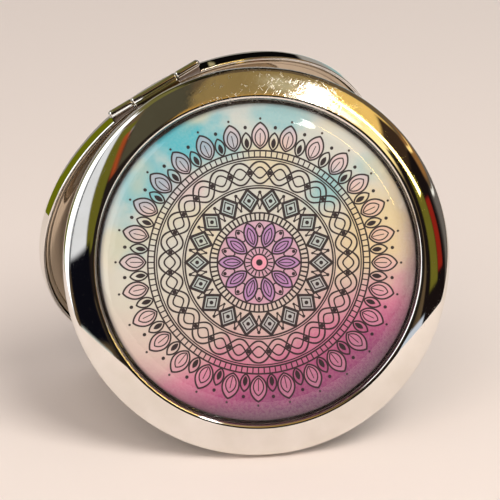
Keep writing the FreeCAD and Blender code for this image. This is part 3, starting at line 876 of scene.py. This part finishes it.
knob = slab(knobOutline, (button["top"], button["bottom"]))
latch = slab(plateOutline, (plate["top"], plate["bottom"]))
pressed = addPiece("releaseButton", knob, chrome, "button", "release_button")
latchTool = addShape("tool", latch, chrome, "base")
for piece in (pressed, latchTool):
    bevelled(piece, button["soft"], button["softSteps"])
evened(merged(pressed, [latchTool], "UNION"))

# Button spring: bowed strip between the pocket's wall and the latch plate
spring = {
    "half": 6.0, "wall": 29.75, "rise": 0.9, "thick": 0.2, "top": 1.1, "bottom": 1.8, "soft": 0.05,
    "kept": 0.18,
}
strip = softened([
    (0, spring["top"], spring["soft"]), (spring["thick"], spring["top"], spring["soft"]),
    (spring["thick"], spring["bottom"], spring["soft"]), (0, spring["bottom"], spring["soft"]),
], 4, True)
# Strip point (out, down) at share s of the half length: (half s, -(wall + rise (1 - s^2) + out), -down)
share = np.linspace(-1, 1, 49)[:, None]
bowed = -(spring["wall"] + spring["rise"] * (1 - share ** 2) + strip[:, 0])
springRows = np.stack([spring["half"] * share + 0 * bowed, bowed, 0 * bowed - strip[:, 1]], -1)
springPiece = addPiece("buttonSpring", swept(springRows), steel, "base", "button_spring")
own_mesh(springPiece)

# Catch hook: one bent strip with a barb, on the lid
hook = {
    "half": 2.5, "outer": 32.9, "inner": 32.3, "foot": 1.8, "footTop": 2.25, "footLow": 1.75,
    "barbTop": 2.05, "barbLow": 2.7, "barb": 0.55, "soft": 0.08,
}
hookOutline = np.array([
    (-hook["outer"], hook["footTop"]), (-(hook["inner"] - hook["foot"]), hook["footTop"]),
    (-(hook["inner"] - hook["foot"]), hook["footLow"]), (-hook["inner"], hook["footLow"]),
    (-hook["inner"], -hook["barbTop"]), (-(hook["inner"] - hook["barb"]), -hook["barbTop"]),
    (-hook["inner"], -hook["barbLow"]), (-hook["outer"], -hook["barbLow"]),
])
hookEnds = (-hook["half"], hook["half"])
hookRows = np.stack([np.c_[np.full(len(hookOutline), x), hookOutline] for x in hookEnds])
hookPiece = addPiece("catchHook", swept(hookRows), steel, "lid", "catch_hook")
evened(bevelled(hookPiece, hook["soft"]))

# Solids that stay as they are: hidden layers and rivets
kept = {
    "insert_adhesive": plainFinish("adhesiveFilm", (238, 235, 224), (226, 222, 206), 0.42, 300),
    "lid_mirror_tape": plainFinish("tapeFilm", (244, 243, 238), (232, 231, 226), 0.6, 500, 0.00003),
    "base_mirror_pad": plainFinish("foamPad", (66, 66, 68), (44, 44, 46), 0.86, 1600, 0.0001),
    "catch_rivets": solidSteel,
}
for node, material in kept.items():
    solid = frame["nodes"][node]
    solid.data.materials.clear()
    solid.data.materials.append(material)
print("latch made")

# Stage: pale floor, a tent that only shows in reflections, and two soft lamps
ground = {"half": 4.0, "colour": (245, 235, 231), "rough": 0.7, "specular": 0.2}
floorPaint = Shader("floorPaint")
floorPaint.set(Base_Color=tone(*ground["colour"]), Roughness=ground["rough"])
floorPaint.set(Specular_IOR_Level=ground["specular"])
square = np.array([(-1, -1, 0), (1, -1, 0), (1, 1, 0), (-1, 1, 0)], float)
floor = addMesh("floor", square * ground["half"], [[0, 1, 2, 3]], floorPaint.material)


def direction(azimuth, elevation):
    # (cos el sin az, -cos el cos az, sin el), from degrees; 0 is the front and + the right
    az, el = np.radians(azimuth), np.radians(elevation)
    return np.stack([np.cos(el) * np.sin(az), -np.cos(el) * np.cos(az), np.sin(el)], -1)


def ramped(inside, soft):
    # 3 s^2 - 2 s^3, where s goes from 0 to 1 across the soft edge
    share = np.clip(inside / soft + 0.5, 0, 1)
    return share * share * (3 - 2 * share)


def glowing(name, colourOf):
    # Paint that only gives off light
    s = Shader(name)
    glow = s.node("Emission", colourOf(s))
    s.feed(s.output.inputs["Surface"], glow.outputs[0])
    return s.material


# Tent: radius and middle in metres, lowest elevation and grid step in degrees, colour between the cards
tent = {"radius": 0.42, "middle": (0, 0, 0.03), "low": -12, "step": 0.5, "base": (104, 86, 62)}
# Its light cards, in degrees: azimuth and elevation of the middle, half width, half height, turn, soft edge;
# then screen colour and strength. Later ones lie over earlier ones.
cards = (
    (-110, 66, 62, 9, 0, 6, (116, 111, 60), 1.0),
    (-115, 80, 70, 6, 0, 5, (20, 18, 16), 1.0),
    (180, 18, 48, 34, 0, 16, (166, 161, 154), 1.0),
    (180, 63, 44, 8, 0, 5, (11, 10, 9), 1.0),
    (161, 54, 18, 11, 0, 4, (11, 10, 9), 1.0),
    (142, 38, 9, 15, 0, 4, (9, 8, 8), 1.0),
    (165.5, 63.8, 2.6, 1.6, 0, 2, (178, 166, 124), 1.0),
    (-149, 49, 11, 7, 0, 5, (112, 106, 34), 1.0),
    (-122, 17, 8, 31, -12, 3, (108, 112, 16), 1.0),
    (148, 4, 4, 9, 0, 4, (150, 186, 184), 1.0),
    (-4, 12, 30, 24, 0, 8, (34, 29, 25), 1.0),
    (16, 60, 40, 14, 0, 5, (152, 128, 80), 1.0),
    (15, 57, 7, 7, 0, 8, (192, 178, 140), 1.0),
    (34, 46, 19, 9, 8, 6, (240, 196, 108), 1.1),
    (27, 40, 6, 12, 14, 6, (255, 228, 156), 1.3),
    (-4, 43, 22, 5, 0, 4, (196, 152, 78), 1.0),
    (-86, 27, 26, 30, 0, 3, (238, 241, 246), 2.2),
    (-52, 30, 9, 19, 0, 2, (236, 238, 242), 1.0),
    (-59.5, 24, 0.6, 27, 3, 0.8, (48, 52, 60), 1.0),
    (-32, 34, 12, 24, 12, 2, (38, 30, 26), 1.0),
    (-46, 34, 4.2, 18, 24, 1.6, (106, 102, 36), 1.0),
    (-43.5, 40, 1.5, 9, 38, 2.4, (168, 76, 38), 1.0),
    (-37, 54, 11.5, 16, 36, 3, (82, 77, 60), 1.0),
    (-46, 6, 10, 10.5, 20, 2.5, (12, 12, 19), 1.0),
    (-44, -7, 9, 3.5, 0, 1.5, (206, 214, 206), 1.0),
    (41, 14, 11, 19, 0, 1.5, (26, 19, 18), 1.0),
    (43, 35, 10, 5, 28, 2, (62, 45, 32), 1.0),
    (38, 15, 3.6, 12, 0, 1.6, (112, 106, 38), 1.0),
    (44.5, 13, 2.4, 8, 0, 1.4, (148, 36, 24), 1.0),
    (27, -5, 6, 3.5, 0, 1.2, (206, 214, 226), 1.0),
    (86, 10, 35, 11, 0, 5, (112, 105, 100), 1.0),
    (78, 29, 26, 6, -4, 3, (152, 106, 58), 1.0),
    (72, 31.5, 20, 0.9, -4, 0.8, (255, 216, 136), 1.4),
    (64, 19.5, 12, 0.8, -7, 0.8, (238, 236, 228), 1.2),
    (34.5, 37, 1.1, 15, 18, 0.6, (255, 222, 128), 14.0),
    (23.5, 42, 3, 3, 0, 3, (255, 250, 232), 1.6),
    (22, 50, 16, 3.0, 30, 5, (250, 236, 204), 0.95),
    (21.5, 49.4, 12.5, 2.2, 34, 0.5, (255, 250, 240), 13.0),
)
levels = np.linspace(tent["low"], 90, int((90 - tent["low"]) / tent["step"]) + 1)
azimuth, elevation = np.meshgrid(np.arange(-180, 180, tent["step"]), levels)
tentColour = np.ones(azimuth.shape + (3,)) * np.array(tone(*tent["base"])[:3])
for az, el, halfWidth, halfHeight, turn, soft, colour, strength in cards:
    aside, above = (azimuth - az + 180) % 360 - 180, elevation - el
    cosine, sine = np.cos(np.radians(turn)), np.sin(np.radians(turn))
    across, along = aside * cosine + above * sine, above * cosine - aside * sine
    cover = ramped(halfWidth - np.abs(across), soft) * ramped(halfHeight - np.abs(along), soft)
    tentColour += cover[..., None] * (np.array(tone(*colour)[:3]) * strength - tentColour)
tentVerts = direction(azimuth, elevation).reshape(-1, 3) * tent["radius"] + np.array(tent["middle"])
tentPaint = glowing("tentPaint", lambda s: s.attribute("glow", "Color"))
tentPiece = addMesh("tent", tentVerts, bands(*azimuth.shape), tentPaint)
glow = tentPiece.data.attributes.new("glow", "FLOAT_COLOR", "POINT")
glowColour = np.c_[tentColour.reshape(-1, 3), np.ones(azimuth.size)]
glow.data.foreach_set("color", glowColour.astype(np.float32).ravel())

# A low glowing card near the base's left, seen only in reflections, carries the tent's olive on below the
# horizon
nearCard = {"at": (-0.146, 0.110), "facing": -131.0, "half": 0.06, "high": 0.05, "colour": (108, 112, 16)}
facing = np.radians(nearCard["facing"])
spread = np.array([np.cos(facing), np.sin(facing)]) * nearCard["half"]
nearFoot = np.array(nearCard["at"]) + np.outer((-1, 1, 1, -1), spread)
nearVerts = np.c_[nearFoot, (0.0, 0.0, nearCard["high"], nearCard["high"])]
nearPaint = glowing("nearPaint", lambda s: tone(*nearCard["colour"]))
nearPiece = addMesh("nearCard", nearVerts, [[0, 1, 2, 3]], nearPaint)
for path in ("camera", "diffuse", "transmission", "volume_scatter", "shadow"):
    for piece in (tentPiece, nearPiece):
        setattr(piece, "visible_" + path, False)

# Lamps: azimuth and elevation in degrees, distance and size in metres, watts and screen colour
lamps = {
    "keyLamp": (24, 52, 0.9, 0.5, 4.9, (255, 248, 238)),
    "fillLamp": (-40, 42, 1.0, 0.7, 2.9, (255, 236, 220)),
}


def addLamp(name, azimuth, elevation, away, size, power, colour):
    data = bpy.data.lights.new(name, "AREA")
    data.shape = "DISK"
    data.size = size
    data.energy = power
    data.color = tone(*colour)[:3]
    lamp = bpy.data.objects.new(name, data)
    lamp.location = direction(azimuth, elevation) * away + np.array(tent["middle"])
    lamp.rotation_euler = (np.pi / 2 - np.radians(elevation), 0, np.radians(azimuth))
    lamp.visible_glossy = False
    scene.collection.objects.link(lamp)
    return lamp


key, fill = [addLamp(name, *values) for name, values in lamps.items()]
room = {"colour": (236, 232, 228), "strength": 0.47}
world = bpy.data.worlds.new("room")
scene.world = world
world.use_nodes = True
backdrop = world.node_tree.nodes["Background"]
backdrop.inputs["Color"].default_value = tone(*room["colour"])
backdrop.inputs["Strength"].default_value = room["strength"]
scene.view_settings.view_transform = "Standard"

# Camera at the photo's angle, found by matching the outlines of lid, ring and base: angles in degrees,
# distances from the middle between the halves and the lens in millimetres
shot = {
    "turn": 17.2, "rise": 22.5, "roll": 0.2, "away": 482.764, "right": 1.677, "up": -0.913, "lens": 187.2,
    "sensor": 36.0, "clip": 10.0,
}
roll = np.radians(shot["roll"])
back = direction(-shot["turn"], shot["rise"])
right = np.cross([0, 0, 1.0], back)
right = right / np.linalg.norm(right)
up = np.cross(back, right)
rightRolled = right * np.cos(roll) + up * np.sin(roll)
upRolled = up * np.cos(roll) - right * np.sin(roll)
aim = pinAt - outward * pinRadius * mm
spot = aim + (back * shot["away"] + rightRolled * shot["right"] + upRolled * shot["up"]) * mm
lens = bpy.data.cameras.new("camera")
lens.lens = shot["lens"]
lens.sensor_width = shot["sensor"]
lens.clip_start = shot["clip"] * mm
camera = bpy.data.objects.new("camera", lens)
scene.collection.objects.link(camera)
camera.location = spot
turned = np.stack([rightRolled, upRolled, back], 1)
pitch = np.arctan2(turned[2, 1], turned[2, 2])
yaw = np.arctan2(-turned[2, 0], np.hypot(turned[2, 1], turned[2, 2]))
spin = np.arctan2(turned[1, 0], turned[0, 0])
camera.rotation_euler = (pitch, yaw, spin)
scene.camera = camera
print("stage made")
